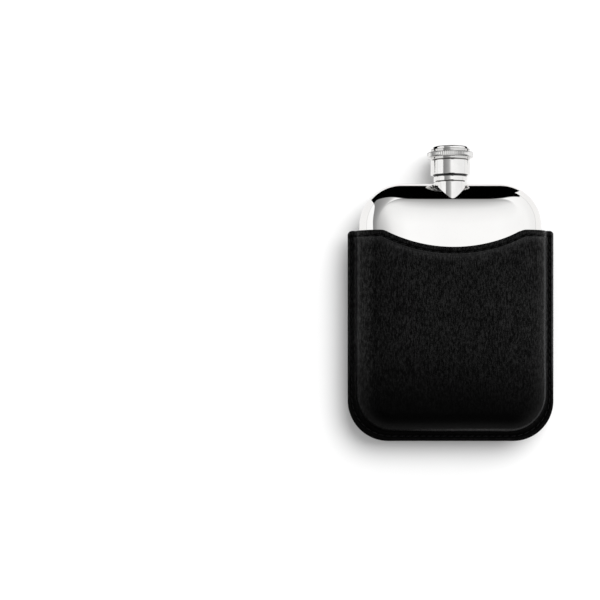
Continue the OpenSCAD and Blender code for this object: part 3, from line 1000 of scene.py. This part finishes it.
# One stitch at each point, laid along its row, turned up from the leather and a little uneven.
stitch_tree, wires, target = new_tree("stitches", Stitch="Object", Tilt="Float")
holes = wires["Geometry"]
stitch = holes.node("GeometryNodeObjectInfo", (), {"Object": wires["Stitch"]}, 4)
way = holes.node("GeometryNodeInputNamedAttribute", {"data_type": "FLOAT_VECTOR"}, {"Name": "way"})
up = holes.node("GeometryNodeInputNamedAttribute", {"data_type": "FLOAT_VECTOR"}, {"Name": "up"})
turn = way.node("FunctionNodeAlignRotationToVector", {"axis": "X"}, {"Vector": way})
turn = turn.node(
    "FunctionNodeAlignRotationToVector", {"axis": "Z", "pivot_axis": "X"}, {"Rotation": turn, "Vector": up}
)
wobble = turn.node("FunctionNodeRandomValue", {"data_type": "FLOAT"}, {2: -0.05, 3: 0.05, "Seed": 4}, 1)
wobble = wobble.node("ShaderNodeCombineXYZ", (), {"Z": wires["Tilt"] + wobble})
turn = turn.node(
    "FunctionNodeRotateRotation", {"rotation_space": "LOCAL"}, {"Rotation": turn, "Rotate By": wobble}
)
row = holes.node("GeometryNodeInstanceOnPoints", (), {"Points": holes, "Instance": stitch, "Rotation": turn})
close_tree(row, waxed, target)


def stitch_row(name, line, pitch, heights, side, tilt):
    """Stitches along a line in plan, on the front (1) or the back (-1), each turned by a tilt.

    The function heights gives their heights and upward directions.
    """
    spots = even(line, pitch)
    ways = np.gradient(spots, axis=0)
    z, up = heights(spots)
    mesh = raw_mesh(name, np.column_stack([spots, z * side + MID_Z]), [])
    ups = up * (1, 1, side)
    ways = np.column_stack([ways, np.zeros(len(ways))])
    ways -= ups * (ways * ups).sum(1)[:, None]
    for key, values in (("way", ways), ("up", ups)):
        layer = mesh.attributes.new(key, "FLOAT_VECTOR", "POINT")
        layer.data.foreach_set("vector", values.astype(np.float32).ravel())
    blank = ply_blank(STITCH_SHARE * pitch)
    row_piece = grown(name, stitch_tree, waxed, linked(name + "_points", mesh), Stitch=blank, Tilt=tilt)
    bpy.data.objects.remove(blank)
    for polygon in row_piece.data.polygons:
        polygon.use_smooth = True
    return row_piece


def level(height):
    """Heights and upward directions for a row on a flat part of the leather."""
    return lambda spots: (np.full(len(spots), height), np.tile((0.0, 0.0, 1.0), (len(spots), 1)))


def on_panel(grid):
    """Heights and upward directions for a row on the curved face of a leather."""
    face = grid.reshape(-1, 3)
    face_normals = normals(grid).reshape(-1, 3)

    def heights(spots):
        nearest = [np.argmin(np.hypot(face[:, 0] - x, face[:, 1] - y)) for x, y in spots]
        return face[nearest, 2] + 0.16 * MM, face_normals[nearest]

    return heights


def joined(name, parts):
    """Several plain meshes as one object."""
    work = bmesh.new()
    for part in parts:
        work.from_mesh(part.data)
        bpy.data.objects.remove(part)
    mesh = bpy.data.meshes.new(name)
    work.to_mesh(mesh)
    work.free()
    mesh.materials.append(waxed)
    return linked(name, mesh)


flange_level = level(WELT_HALF + LEATHER + 0.02 * MM)
flange_rows = [
    stitch_row(f"flange_row_{side}", flange_line(), FLANGE_PITCH, flange_level, side, 0.06)
    for side in (1, -1)
]
place_piece(joined("flange_stitches", flange_rows), "sleeve", "black_thread", "flange_stitching")
front_level = on_panel(panels["front_leather"])
front_row = stitch_row("front_mouth_stitches", mouth_stitch_line(True), MOUTH_PITCH, front_level, 1, 0.05)
place_piece(front_row, "sleeve", "black_thread", "front_mouth_stitching")
back_level = level(EDGE_R + LEATHER_OUT - 0.3 * MM)
back_row = stitch_row("back_mouth_stitches", mouth_stitch_line(False), MOUTH_PITCH, back_level, -1, 0.05)
place_piece(back_row, "sleeve", "black_thread", "back_mouth_stitching")
bpy.data.node_groups.remove(stitch_tree)
bpy.data.node_groups.remove(thread_tree)

# ---- Table, light and camera ----
# A white table under a large soft light from the upper right, in a white room with a dark wall past
# the cap. The camera looks straight down from left of the flask.
CAMERA_X = -65.6 * MM
CAMERA_Y = -2.7 * MM
CAMERA_ABOVE = 524 * MM
TABLE_SIZE = 6
DARK_HALF_W = 21 * MM
DARK_Y = 29 * MM
DARK_R = 36 * MM
ROOM_GLOW = 1.04
ROOM_FILL = 0.62

scene = bpy.context.scene
table_mat = bpy.data.materials.new("white_table")
table_mat.use_nodes = True
tree = table_mat.node_tree
tree.nodes.remove(tree.nodes["Principled BSDF"])
base = Wire(tree)
matt = base.node("ShaderNodeBsdfDiffuse", (), {"Color": (0.8, 0.8, 0.8, 1)})

# Polished metal sees the table as white, but dark past the flask's shoulders, as far as the wall's foot.
place = base.node("ShaderNodeTexCoord", out=3)
x, y = place.axis("X"), place.axis("Y")
aside = place.math("MAXIMUM", abs(x) - DARK_HALF_W, 0.0)
ahead = y - DARK_Y
beyond = (aside * aside + ahead * ahead) > DARK_R**2
to_right = x < ahead * 0.54 + 24 * MM
to_left = x > ahead * -1.1 - 20 * MM
dark = beyond * (ahead > 0) * to_right * to_left
shine = dark.mix((0.95, 0.945, 0.94), (0.0, 0.0, 0.0))
mirrored = base.node("ShaderNodeEmission", (), {"Color": shine})
glossy_ray = base.node("ShaderNodeLightPath", (), (), 3)
shown = base.node("ShaderNodeMixShader", (), {0: glossy_ray, 1: matt, 2: mirrored})
tree.links.new(shown.socket, tree.nodes["Material Output"].inputs["Surface"])
bpy.ops.mesh.primitive_plane_add(size=TABLE_SIZE)
table = bpy.context.object
for corner in table.data.vertices:
    corner.co.z = cad_box[0].z - 0.01 * MM
table.name = "table"
table.data.materials.append(table_mat)

world = bpy.data.worlds.new("white_room")
scene.world = world
world.use_nodes = True
tree = world.node_tree
background = tree.nodes["Background"]
background.inputs["Color"].default_value = (1, 1, 1, 1)
base = Wire(tree)
look = base.node("ShaderNodeTexCoord", out=0)
x, y, z = look.axis("X"), look.axis("Y"), look.axis("Z")

# Polished metal sees a grey screen to the left, which fades into the white ceiling.
left = (x * 0.5 + 0.5).ramp(
    (0, 0.96), (0.122, 1.0), (0.13, 0.23), (0.2, 0.27), (0.27, 0.32), (0.34, 0.38), (0.39, 0.45),
    (0.415, 0.54), (0.44, 0.68), (0.4625, 0.86), (0.48, 0.93), (0.51, 1.0), (0.7, 0.96), (1, 0.88),
)

# The dark wall past the cap rises from the table to a soft upper edge, and ends on either side. The
# soft edge flares out wider than the wall.
wall = (y * 0.5 + 0.5).ramp(
    (0.6, 1), (0.63, 0.93), (0.648, 0.855), (0.67, 0.565), (0.678, 0.46), (0.691, 0.4),
    (0.705, 0.28), (0.722, 0.05), (0.735, 0),
)
right_reach = z.math("MINIMUM", 0.7 - z * 0.7, 0.55)
left_reach = 0.93 - z * 0.95
flare = z.math("MAXIMUM", z * 3.5 - 3.1, 0.0)
right_end = (y * right_reach - x + 0.18 + flare).ramp((0, 0), (0.04, 1))
left_end = (y * left_reach + x - 0.06 + flare).ramp((0, 0), (0.04, 1))
wedge = (y > 0.15) * right_end * left_end

# The room is dark straight past the sleeve's foot, and has a faint line all round at the table's height.
beside = (abs(x) + y * 0.5).ramp((0.1, 0), (0.2, 1))
behind = beside.math("MAXIMUM", beside, (y * 0.5 + 0.5).ramp((0.41, 0.02), (0.49, 1)))
skyline = 1 - (abs(z) < 0.05) * 0.25
room = left * (wall * wedge + (1 - wedge)) * behind * skyline

# The camera sees plain white, polished metal the room, and everything else an even soft fill.
glossy_ray = base.node("ShaderNodeLightPath", (), (), 3)
camera_ray = base.node("ShaderNodeLightPath", (), (), 0)
strength = glossy_ray * room * ROOM_GLOW + (1 - glossy_ray) * ROOM_FILL
strength = camera_ray + (1 - camera_ray) * strength
tree.links.new(strength.socket, background.inputs["Strength"])

key_data = bpy.data.lights.new("key", "SUN")
key_data.energy = 3.6
key_data.angle = math.radians(60)
key = bpy.data.objects.new("key", key_data)
key.rotation_euler = (math.radians(-36), math.radians(29), 0)
key.visible_glossy = False
scene.collection.objects.link(key)

camera_data = bpy.data.cameras.new("camera")
camera_data.sensor_width = 36
camera_data.lens = 72
camera = bpy.data.objects.new("camera", camera_data)
camera.location = (CAMERA_X, CAMERA_Y, MID_Z + CAMERA_ABOVE)
scene.collection.objects.link(camera)
scene.camera = camera
scene.view_settings.view_transform = "Standard"

bpy.context.view_layer.update()
